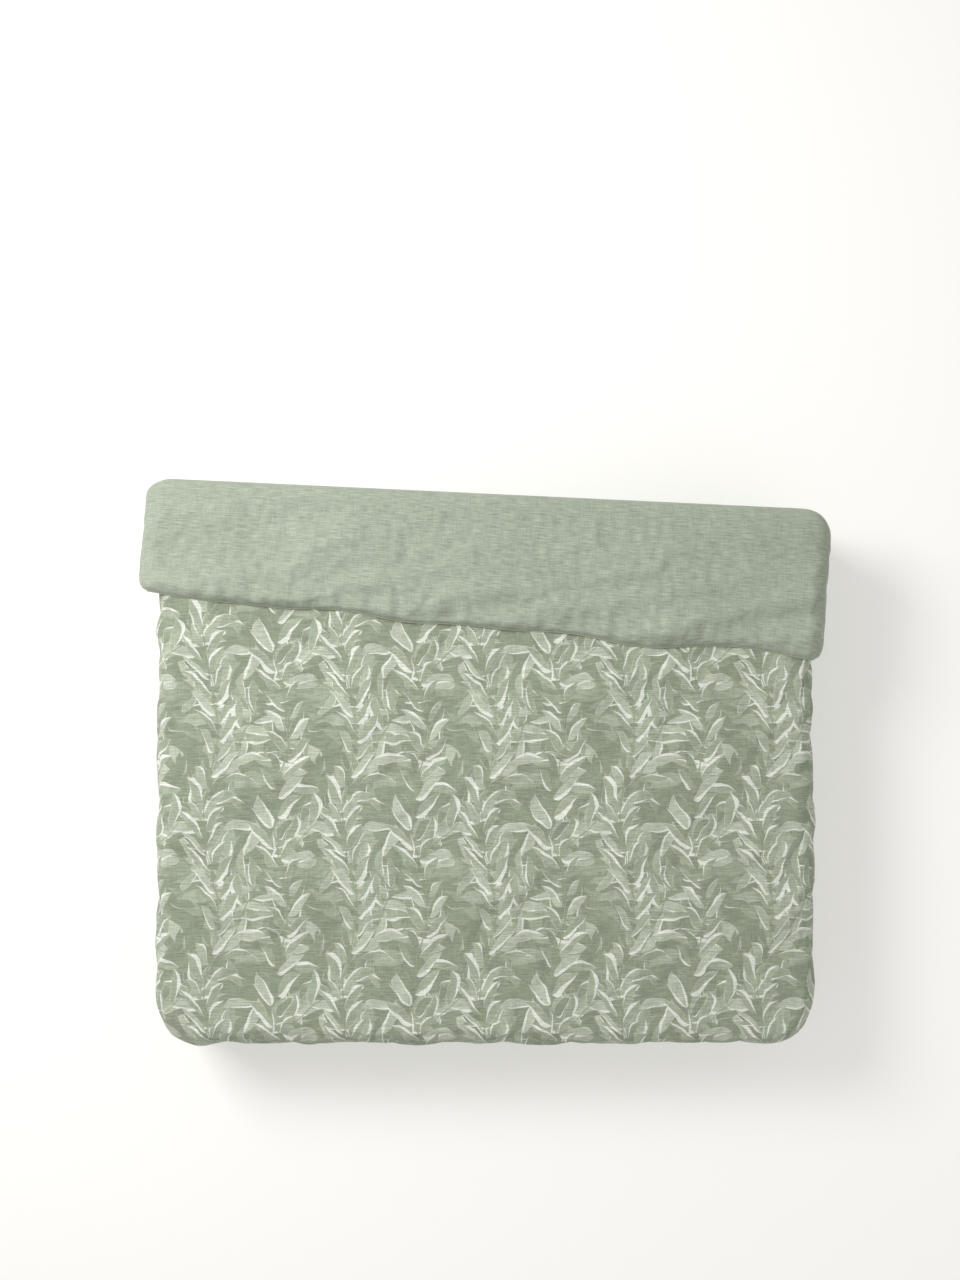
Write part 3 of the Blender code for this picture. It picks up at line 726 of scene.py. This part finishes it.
PAD_TOP = 0.80
PAD_BOTTOM = 0.14
flap_pieces = {}
for side, half in halves.items():
    sign = half["sign"]
    rows, columns = half["upper"].shape[:2]
    numbers = np.arange(rows * columns).reshape(rows, columns)
    u, v = np.meshgrid(sign * flat_across, rows_v)
    reverse_faces = faces_of(numbers if side == "left" else numbers[:, ::-1])
    green = make_piece(
        f"turned_back_reverse_{side}",
        half["upper"].reshape(-1, 3),
        reverse_faces,
        np.stack([u.ravel(), v.ravel()], 1),
        smooth_levels=1,
    )
    held_rows = [numbers[: len(QUARTER) + 1], numbers[-2:], numbers[:, :3], numbers[:, -2:]]
    settle(green, np.unique(np.concatenate([part.ravel() for part in held_rows])))
    rows = half["under"].shape[0]
    numbers = np.arange(rows * columns).reshape(rows, columns)
    u, v = np.meshgrid(sign * flat_across, CREASE[1] + reach_rows * TURN_BACK_DEPTH)
    printed = make_piece(
        f"turned_back_print_{side}",
        half["under"].reshape(-1, 3),
        faces_of(numbers[:, ::-1] if side == "left" else numbers),
        np.stack([u.ravel(), v.ravel()], 1),
        smooth_levels=1,
    )
    coarse = (slice(1, -2, 2), slice(0, -3, 2))
    pad_lower = half["under"][coarse]
    pad_filling = half["upper"][len(QUARTER) - 1 :][coarse] - pad_lower
    numbers = np.arange(pad_lower.size // 3).reshape(pad_lower.shape[:2])
    loop = np.concatenate([numbers[0], numbers[1:, -1], numbers[-1, -2::-1], numbers[-2:0:-1, 0]])
    pad = closed_pad(
        f"turned_back_insert_{side}",
        (pad_lower + PAD_TOP * pad_filling).reshape(-1, 3),
        (pad_lower + PAD_BOTTOM * pad_filling).reshape(-1, 3),
        faces_of(numbers),
        loop,
    )
    hem_row = (half["upper"][-1] + half["under"][-1]) / 2
    bottom = (half["upper"][len(QUARTER) - 1 :, -1] + half["under"][:, -1]) / 2
    seam = welt(f"turned_back_seam_{side}", np.vstack([hem_row, bottom[-2::-1]]), WELT)
    flap_pieces[side] = {"green": green, "printed": printed, "pad": pad, "seam": seam}


# %% [markdown]
# ## Linen
#
# Linen yarn is uneven: thick and thin stretches, called slubs, make short streaks along the weft,
# which runs across the bed, and fainter ones along the warp. It is matt, with a little sheen from
# loose fibres. Both panels share that cloth, and its pattern follows the flat UV in metres, so it
# bends with the folds.

# %% Node helpers
def linear(hex_colour):
    """Linear RGBA from an sRGB hex colour such as #A8AF9D."""
    parts = [int(hex_colour[start : start + 2], 16) / 255 for start in (1, 3, 5)]
    curve = [part / 12.92 if part <= 0.04045 else ((part + 0.055) / 1.055) ** 2.4 for part in parts]
    return (*curve, 1.0)


def add(tree, kind, links=(), **settings):
    """Adds a node with its settings, and sets or links its inputs.

    kind is the node's type, then its operation if it has one. links gives inputs by name or
    number, or in their order. A node given as an input stands for its first output.
    """
    kind, _, operation = kind.partition(" ")
    node = tree.nodes.new("ShaderNode" + kind)
    if operation:
        node.operation = operation
    for name, value in settings.items():
        setattr(node, name, value)
    for key, value in links.items() if isinstance(links, dict) else enumerate(links):
        if isinstance(value, bpy.types.Node):
            value = value.outputs[0]
        if isinstance(value, bpy.types.NodeSocket):
            tree.links.new(value, node.inputs[key])
        else:
            node.inputs[key].default_value = value
    return node


def new_material(name, roughness=0.9):
    """A material with nodes, its tree, and its Principled shader."""
    material = bpy.data.materials.new(name)
    material.use_nodes = True
    shader = material.node_tree.nodes["Principled BSDF"]
    shader.inputs["Roughness"].default_value = roughness
    return material, material.node_tree, shader


# %% Slubs
# Real linen yarns lie about 0.6 mm apart. Drawn about 3 mm apart they still show from above.
WEFT_PER_METRE = 320
WARP_PER_METRE = 300
SLUB_LENGTHS_PER_METRE = 26
SLUB_STRENGTH = 0.26


def slubs(tree, cloth, strength):
    """Weft and warp streaks as one grey multiplier about 1, and as a height for the bump."""
    weft_place = add(
        tree, "VectorMath MULTIPLY", [cloth, (SLUB_LENGTHS_PER_METRE, WEFT_PER_METRE, 1)]
    )
    warp_place = add(
        tree, "VectorMath MULTIPLY", [cloth, (WARP_PER_METRE, SLUB_LENGTHS_PER_METRE, 1)]
    )
    coarse = {"Vector": weft_place, "Scale": 1.0, "Detail": 3.0, "Roughness": 0.75}
    weft = add(tree, "TexNoise", coarse, noise_dimensions="2D")
    fine = {"Vector": warp_place, "Scale": 1.0, "Detail": 2.0, "Roughness": 0.6}
    warp = add(tree, "TexNoise", fine, noise_dimensions="2D")
    warp_share = add(tree, "Math MULTIPLY", [warp, 0.30])
    both = add(tree, "Math ADD", [weft, warp_share])
    spread = {"From Min": 0.42, "From Max": 0.88, "To Min": 1 - strength, "To Max": 1 + strength}
    grey = add(tree, "MapRange", {"Value": both, **spread})
    return grey, both


def crumple(tree, cloth, weave, shader):
    """Bump from the weave and from the small soft creases that washed linen keeps."""
    small = {"Vector": cloth, "Scale": 16.0, "Detail": 3.0, "Roughness": 0.55}
    creases = add(tree, "TexNoise", small, noise_dimensions="2D")
    soft = add(tree, "Bump", {"Height": creases, "Distance": 0.006, "Strength": 0.55})
    fine = add(tree, "Bump", {"Height": weave, "Distance": 0.0009, "Strength": 0.6, "Normal": soft})
    tree.links.new(fine.outputs[0], shader.inputs["Normal"])


def finish_linen(tree, shader, cloth, colour):
    """Lays the slubs over a colour, and gives the linen its soft sheen and its bump."""
    grey, weave = slubs(tree, cloth, SLUB_STRENGTH)
    shade = add(tree, "Mix", {0: 1.0, 6: colour, 7: grey}, data_type="RGBA", blend_type="MULTIPLY")
    tree.links.new(shade.outputs[2], shader.inputs["Base Color"])
    shader.inputs["Sheen Weight"].default_value = 0.15
    shader.inputs["Sheen Roughness"].default_value = 0.5
    crumple(tree, cloth, weave, shader)


# %% [markdown]
# ## The leaf print
#
# The print is a repeat 0.345 m wide and 0.44 m high of leafy sprigs. A sprig is worked out with
# arithmetic alone. The distance from a waving stem and the place along it give, once slid back
# along the leaf's lean, the number of the leaf that a point may lie in. From that number come the
# leaf's own length, width and tone, so no two neighbours look the same, and counting it round the
# repeat makes the print repeat as a screen print does.

# %% Leafy sprigs
REPEAT_WIDE = 0.345
REPEAT_HIGH = 0.44
LEAF_BEND = 4.5
STAGGER = 0.46
SLIVER_PLACE = 0.80
LINE_PLACE = 0.92
LINE_SHARE = 0.07


def sprig(name, steps, shift, leaves, lean, length, width, wave, sliver, seed):
    """A node group that gives a sprig's leaf, sliver, stem and random values on the cloth.

    steps slants the stems by that many repeats across for one repeat up, and shift places them.
    leaves is their number in a repeat, lean their angle from the stem, and length and width are in
    metres. A leaf swells as a sine does, and sliver is the share of it that its pale edge takes.
    """
    group = bpy.data.node_groups.new(name, "ShaderNodeTree")
    group.interface.new_socket("Cloth", in_out="INPUT", socket_type="NodeSocketVector")
    for output in ("Leaf", "Sliver", "Stem", "Tone"):
        group.interface.new_socket(output, in_out="OUTPUT", socket_type="NodeSocketFloat")
    node = functools.partial(add, group)
    slant = steps * REPEAT_WIDE / REPEAT_HIGH
    cosine = 1 / math.sqrt(1 + slant * slant)
    spacing = REPEAT_HIGH / cosine / leaves
    inside = group.nodes.new("NodeGroupInput")
    place = node("SeparateXYZ", [inside.outputs[0]])
    u, v = place.outputs[0], place.outputs[1]

    # distance from the nearest stem, and the place along it
    swing = node("Math MULTIPLY_ADD", [v, 2 * math.pi / REPEAT_HIGH, seed * 1.7])
    swing = node("Math SINE", [swing])
    swing = node("Math MULTIPLY_ADD", [swing, wave, -shift])
    level = node("Math MULTIPLY_ADD", [v, -slant, u])
    level = node("Math ADD", [level, swing])
    column = node("Math MULTIPLY", [level, 1 / REPEAT_WIDE])
    column = node("Math FRACT", [column])
    across = node(
        "Math MULTIPLY_ADD", [column, REPEAT_WIDE * cosine, -REPEAT_WIDE * cosine / 2]
    )
    tilt = node("Math MULTIPLY", [across, slant])
    along = node("Math MULTIPLY_ADD", [v, 1 / cosine, tilt])
    away = node("Math ABSOLUTE", [across])
    right = node("Math GREATER_THAN", [across, 0.0])

    # the leaf's number, after sliding back along its lean, which bends outwards
    back = node("Math MULTIPLY_ADD", [away, -1 / math.tan(lean), along])
    square = node("Math MULTIPLY", [away, away])
    back = node("Math MULTIPLY_ADD", [square, LEAF_BEND, back])
    back = node("Math MULTIPLY_ADD", [right, spacing * STAGGER, back])
    order = node("Math MULTIPLY", [back, 1 / spacing])
    number = node("Math FLOOR", [order])
    number = node("Math ADD", [number, 0.5])
    offset = node("Math SUBTRACT", [order, number])
    offset = node("Math MULTIPLY", [offset, spacing * math.sin(lean)])
    turn = node("Math FLOORED_MODULO", [number, float(leaves)])
    key = node("CombineXYZ", [turn, right, float(seed)])
    chance = node("TexWhiteNoise", {"Vector": key}, noise_dimensions="3D")
    luck = node("SeparateXYZ", [chance.outputs["Color"]])

    # the leaf's outline
    stretch = node("Math MULTIPLY_ADD", [luck.outputs[0], 0.45, 0.65])
    share = node("Math MULTIPLY", [away, 1 / (math.sin(lean) * length)])
    share = node("Math DIVIDE", [share, stretch])
    share = node("MapRange", {"Value": share, "From Min": 0.06, "From Max": 1.0})
    swell = node("Math POWER", [share, 0.72])
    swell = node("Math MULTIPLY", [swell, math.pi])
    swell = node("Math SINE", [swell])
    swell = node("Math POWER", [swell, 1.35])
    breadth = node("Math MULTIPLY_ADD", [luck.outputs[1], 0.5 * width, 0.65 * width])
    breadth = node("Math MULTIPLY", [swell, breadth])
    beside = node("Math ABSOLUTE", [offset])
    depth = node("Math SUBTRACT", [breadth, beside])
    leaf = node("MapRange", {"Value": depth, "From Min": 0.0, "From Max": 0.0011})

    # a pale sliver along one edge, thick in its middle, and a thin line along the other
    which = node("Math GREATER_THAN", [luck.outputs[2], 0.5])
    which = node("Math MULTIPLY_ADD", [which, 2.0, -1.0])
    edge = node("Math MULTIPLY", [breadth, which])
    to_edge = node("Math MULTIPLY_ADD", [edge, -SLIVER_PLACE, offset])
    to_edge = node("Math ABSOLUTE", [to_edge])
    brush = node("Math MULTIPLY_ADD", [luck.outputs[0], sliver * 1.4, sliver * 0.25 - 0.01])
    thick = node("Math MULTIPLY", [breadth, brush])
    bright = node("Math SUBTRACT", [thick, to_edge])
    bright = node("MapRange", {"Value": bright, "From Min": 0.0, "From Max": 0.0009})
    to_line = node("Math MULTIPLY_ADD", [edge, LINE_PLACE, offset])
    to_line = node("Math ABSOLUTE", [to_line])
    line = node("Math MULTIPLY", [breadth, LINE_SHARE])
    line = node("Math SUBTRACT", [line, to_line])
    line = node(
        "MapRange", {"Value": line, "From Min": 0.0, "From Max": 0.0009, "To Max": 0.75}
    )
    gate = node("Math GREATER_THAN", [luck.outputs[1], 0.55 if sliver else 1.0])
    line = node("Math MULTIPLY", [line, gate])
    pale = node("Math MAXIMUM", [bright, line])
    stem = node(
        "MapRange", {"Value": away, "From Min": 0.0024, "From Max": 0.0010, "To Max": 0.8}
    )

    outside = group.nodes.new("NodeGroupOutput")
    for socket, value in zip(outside.inputs, (leaf, pale, stem, chance)):
        group.links.new(value.outputs[0], socket)
    return group


# name, steps, shift, leaves, lean, length, width, wave, sliver, seed
SPRIGS = [
    ("broad_sprig", 1, 0.120, 6, 0.90, 0.150, 0.0230, 0.030, 0.0, 3),
    ("leaning_sprig", -1, 0.300, 6, 0.86, 0.145, 0.0210, -0.020, 0.0, 61),
    ("crossing_sprig", -2, 0.060, 10, 0.64, 0.120, 0.0130, 0.014, 0.18, 31),
    ("lying_sprig", 2, 0.290, 10, 0.62, 0.120, 0.0125, 0.014, 0.22, 19),
    ("falling_sprig", -1, 0.045, 9, 0.70, 0.118, 0.0125, -0.024, 0.24, 12),
    ("rising_sprig", 1, 0.215, 9, 0.68, 0.118, 0.0125, 0.024, 0.24, 7),
    ("first_upright_sprig", 0, 0.010, 9, 0.66, 0.105, 0.0120, -0.018, 0.28, 52),
    ("upright_sprig", 0, 0.180, 10, 0.58, 0.110, 0.0115, 0.018, 0.32, 28),
]

# %% The printed linen
# Screen-printed tones of sage on sage ground, the slivers left nearly undyed
GROUND = "#89927E"
LEAF_TONES = ["#89937E", "#A3AC99", "#97A08C", "#AFB6A5", "#9DA692"]
PALE = "#D5D9CF"
STEM = "#8D977F"


def printed_linen():
    """Sage linen with the leaf print: each layer of sprigs is laid over the one before."""
    material, tree, shader = new_material("printed_sage_linen", 0.88)
    flat = add(tree, "UVMap", uv_map="cloth")
    ragged = add(
        tree, "TexNoise", {"Vector": flat, "Scale": 18.0, "Detail": 1.0}, noise_dimensions="2D"
    )
    ragged = add(tree, "VectorMath SUBTRACT", [ragged.outputs["Color"], (0.5, 0.5, 0.5)])
    ragged = add(tree, "VectorMath SCALE", {0: ragged, "Scale": 0.016})
    drawn = add(tree, "VectorMath ADD", [flat, ragged])
    colour = linear(GROUND)
    for layer in SPRIGS:
        sprig_node = add(tree, "Group", node_tree=sprig(*layer))
        tree.links.new(drawn.outputs[0], sprig_node.inputs[0])
        leaf, pale, stem, tone = sprig_node.outputs
        ramp = add(tree, "ValToRGB", [tone])
        ramp.color_ramp.interpolation = "CONSTANT"
        while len(ramp.color_ramp.elements) < len(LEAF_TONES):
            ramp.color_ramp.elements.new(0.5)
        for index, element in enumerate(ramp.color_ramp.elements):
            element.position = index / len(LEAF_TONES)
            element.color = linear(LEAF_TONES[index])
        colour = add(tree, "Mix", {0: stem, 6: colour, 7: linear(STEM)}, data_type="RGBA").outputs[2]
        colour = add(tree, "Mix", {0: leaf, 6: colour, 7: ramp}, data_type="RGBA").outputs[2]
        colour = add(tree, "Mix", {0: pale, 6: colour, 7: linear(PALE)}, data_type="RGBA").outputs[2]
    finish_linen(tree, shader, flat, colour)
    return material


def plain_linen():
    """The plain reverse: the same linen, dyed one sage with slightly uneven patches."""
    material, tree, shader = new_material("plain_sage_linen", 0.9)
    flat = add(tree, "UVMap", uv_map="cloth")
    cloud = add(
        tree, "TexNoise", {"Vector": flat, "Scale": 3.0, "Detail": 2.0}, noise_dimensions="2D"
    )
    patch = add(
        tree, "Mix", {0: cloud, 6: linear("#969F8E"), 7: linear("#A1AA9A")}, data_type="RGBA"
    )
    finish_linen(tree, shader, flat, patch.outputs[2])
    return material


PRINTED = printed_linen()
PLAIN = plain_linen()
print("linen:", len(PRINTED.node_tree.nodes), "nodes and", len(SPRIGS), "sprigs")


# %% [markdown]
# ## White cottons, buttons and thread
#
# Ticking is cotton woven so close that fibre can't work through it. Tape is a narrow twill. The
# buttons are turned from corozo nut, dyed to match, so their grain is fine rings, and they are
# satin to the touch. These patterns read Object coordinates, as those pieces have no flat UV.

# %% Small finishes
def woven(name, colour, per_metre, strength, roughness=0.85):
    """A close-woven cotton or thread: a fine noise varies the colour and raises it a little."""
    material, tree, shader = new_material(name, roughness)
    place = add(tree, "TexCoord")
    grain = {"Vector": place.outputs["Object"], "Scale": per_metre, "Detail": 2.0, "Roughness": 0.6}
    fine = add(tree, "TexNoise", grain)
    grey = add(tree, "MapRange", {"Value": fine, "To Min": 1 - strength, "To Max": 1 + strength})
    shade = add(
        tree, "Mix", {0: 1.0, 6: linear(colour), 7: grey}, data_type="RGBA", blend_type="MULTIPLY"
    )
    tree.links.new(shade.outputs[2], shader.inputs["Base Color"])
    raised = add(tree, "Bump", {"Height": fine, "Distance": 0.0004, "Strength": 0.5})
    tree.links.new(raised.outputs[0], shader.inputs["Normal"])
    return material


TICKING = woven("cotton_ticking", "#F1F0EB", 900, 0.06)
TAPE = woven("cotton_twill_tape", "#E9E7E0", 1400, 0.10)
WELT_LINEN = woven("welt_sage_linen", "#A3AD96", 420, 0.16, 0.9)
THREAD = woven("sage_sewing_thread", "#8B967C", 2500, 0.2, 0.7)


def corozo():
    """Dyed corozo nut: satin, with fine rings about the button's axis, which runs along Y."""
    material, tree, shader = new_material("dyed_corozo", 0.38)
    place = add(tree, "TexCoord")
    grain = {"Vector": place.outputs["Object"], "Scale": 260.0, "Detail": 4.0, "Distortion": 1.5}
    rings = add(tree, "TexNoise", grain)
    shade = add(
        tree, "Mix", {0: rings, 6: linear("#98A386"), 7: linear("#BAC2A9")}, data_type="RGBA"
    )
    tree.links.new(shade.outputs[2], shader.inputs["Base Color"])
    return material


COROZO = corozo()
print("small finishes:", [finish.name for finish in (TICKING, TAPE, WELT_LINEN, THREAD, COROZO)])

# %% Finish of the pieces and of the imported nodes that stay
for piece in (cover_top, *(half["printed"] for half in flap_pieces.values())):
    piece.data.materials.append(PRINTED)
for piece in (cover_reverse, *(half["green"] for half in flap_pieces.values())):
    piece.data.materials.append(PLAIN)
for piece in (insert, *(half["pad"] for half in flap_pieces.values())):
    piece.data.materials.append(TICKING)
for piece in (hem_seam, *(half["seam"] for half in flap_pieces.values())):
    piece.data.materials.append(WELT_LINEN)
binding.data.materials.append(TAPE)


def carried_finish(node):
    """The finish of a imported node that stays, from what it is."""
    if node.startswith("button_thread"):
        return THREAD
    if node.startswith("button"):
        return COROZO
    if "placket" in node:
        return WELT_LINEN
    return TAPE


for name, node in frame["nodes"].items():
    node.data.materials.clear()
    node.data.materials.append(carried_finish(name))
print(len(frame["nodes"]), "packed nodes finished")

# %% What each piece rides on, stands for and is
on_the_duvet = [
    (cover_top, "printed_linen", ["cover_top_panel"]),
    (cover_reverse, "plain_linen", ["cover_reverse_panel", "fold_cover_lower"]),
    (
        insert,
        "white_ticking",
        ["insert_batt", "insert_upper_ticking", "insert_lower_ticking", "fold_batt_lower"],
    ),
    (binding, "white_tape", ["insert_edge_binding"]),
    (hem_seam, "plain_linen", ["side_seam_left", "side_seam_right", "foot_hem_fold"]),
]
for piece, slot, nodes in on_the_duvet:
    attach(piece, "duvet")
    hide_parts(*nodes)

# the left half also stands for what lies across the whole width
shared = {
    "green": ["turn_back_cover_reverse", "fold_cover_upper"],
    "printed": ["turn_back_cover_top"],
    "pad": [
        "turn_back_batt",
        "turn_back_upper_ticking",
        "turn_back_lower_ticking",
        "fold_batt_upper",
    ],
    "seam": ["head_seam"],
}
for side, pieces in flap_pieces.items():
    stands_for = {
        "green": [f"rim_cover_{side}", f"{side}_side_cover_reverse", f"{side}_side_fold_cover"],
        "printed": [f"{side}_side_cover_top"],
        "pad": [f"rim_batt_{side}", f"{side}_side_batt"],
        "seam": [f"{side}_side_seam"],
    }
    for kind, piece in pieces.items():
        across = shared[kind] if side == "left" else []
        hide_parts(*across, *stands_for[kind])
        bend_at_rim(piece)

# %% [markdown]
# ## Cut sizes
#
# Each sheet's flat size is the size of its UV, which is drawn in metres. The reverse turns up
# round the fold, and each half of the turned-back end is cut from the middle to its bottom edge.

# %% Read the sheets' flat UVs
def declare_sheet(piece):
    """Reads a sheet's flat UV into an array and does nothing more with it."""
    layer = piece.data.uv_layers["cloth"].data
    uv = np.zeros(len(layer) * 2, np.float32)
    layer.foreach_get("uv", uv)


declare_sheet(cover_top)
declare_sheet(cover_reverse)
for side, pieces in flap_pieces.items():
    declare_sheet(pieces["green"])
    declare_sheet(pieces["printed"])

# %% [markdown]
# ## Floor, light and camera
#
# The floor is a plain warm white. One large soft light stands at the upper left, a weak one
# fills from the right, and the camera looks straight down from 3.6 m above the duvet.

# %% Floor and light
scene = bpy.context.scene
scene.view_settings.view_transform = "Standard"
FLOOR_SIZE = 14.0
floor_mesh = bpy.data.meshes.new("floor")
corner = FLOOR_SIZE / 2
floor_points = [(x * corner, y * corner, 0) for x, y in ((-1, -1), (1, -1), (1, 1), (-1, 1))]
floor_mesh.from_pydata(floor_points, [], [(0, 1, 2, 3)])
floor = bpy.data.objects.new("floor", floor_mesh)
scene.collection.objects.link(floor)
floor_finish, _, floor_shader = new_material("painted_studio_floor", 0.8)
floor_shader.inputs["Base Color"].default_value = linear("#D6D5D2")
floor_shader.inputs["Emission Color"].default_value = linear("#FFFEFC")
floor_shader.inputs["Emission Strength"].default_value = 0.34
floor.data.materials.append(floor_finish)


def soft_light(name, place, target, size, watts):
    """A square area light that looks at a target."""
    data = bpy.data.lights.new(name, "AREA")
    data.size = size
    data.energy = watts
    light = bpy.data.objects.new(name, data)
    light.location = place
    light.rotation_euler = (Vector(target) - Vector(place)).to_track_quat("-Z", "Y").to_euler()
    scene.collection.objects.link(light)
    return light


soft_light("key_upper_left", (-2.2, 1.7, 3.4), (0.0, 0.1, 0.3), 1.6, 128)
soft_light("fill_right", (3.0, -1.2, 3.0), (0, 0, 0.3), 3.0, 10)
world = bpy.data.worlds.new("studio")
world.use_nodes = True
world.node_tree.nodes["Background"].inputs["Color"].default_value = linear("#F7F6F3")
world.node_tree.nodes["Background"].inputs["Strength"].default_value = 0.60
scene.world = world
print(f"floor {FLOOR_SIZE:.0f} m square, two soft lights and a pale world")

# %% Camera
CAMERA_ABOVE = 3.6
FRAME_HEIGHT = 3.2
SENSOR = 36.0
camera_data = bpy.data.cameras.new("overhead")
camera_data.sensor_width = SENSOR
camera_data.lens = SENSOR * CAMERA_ABOVE / FRAME_HEIGHT
camera = bpy.data.objects.new("overhead", camera_data)
camera.location = (-0.0125, CREASE[1] - 0.333, TOP_OUTER + CAMERA_ABOVE)
scene.collection.objects.link(camera)
scene.camera = camera
print(f"camera {CAMERA_ABOVE} m above the duvet, {camera_data.lens:.1f} mm lens")
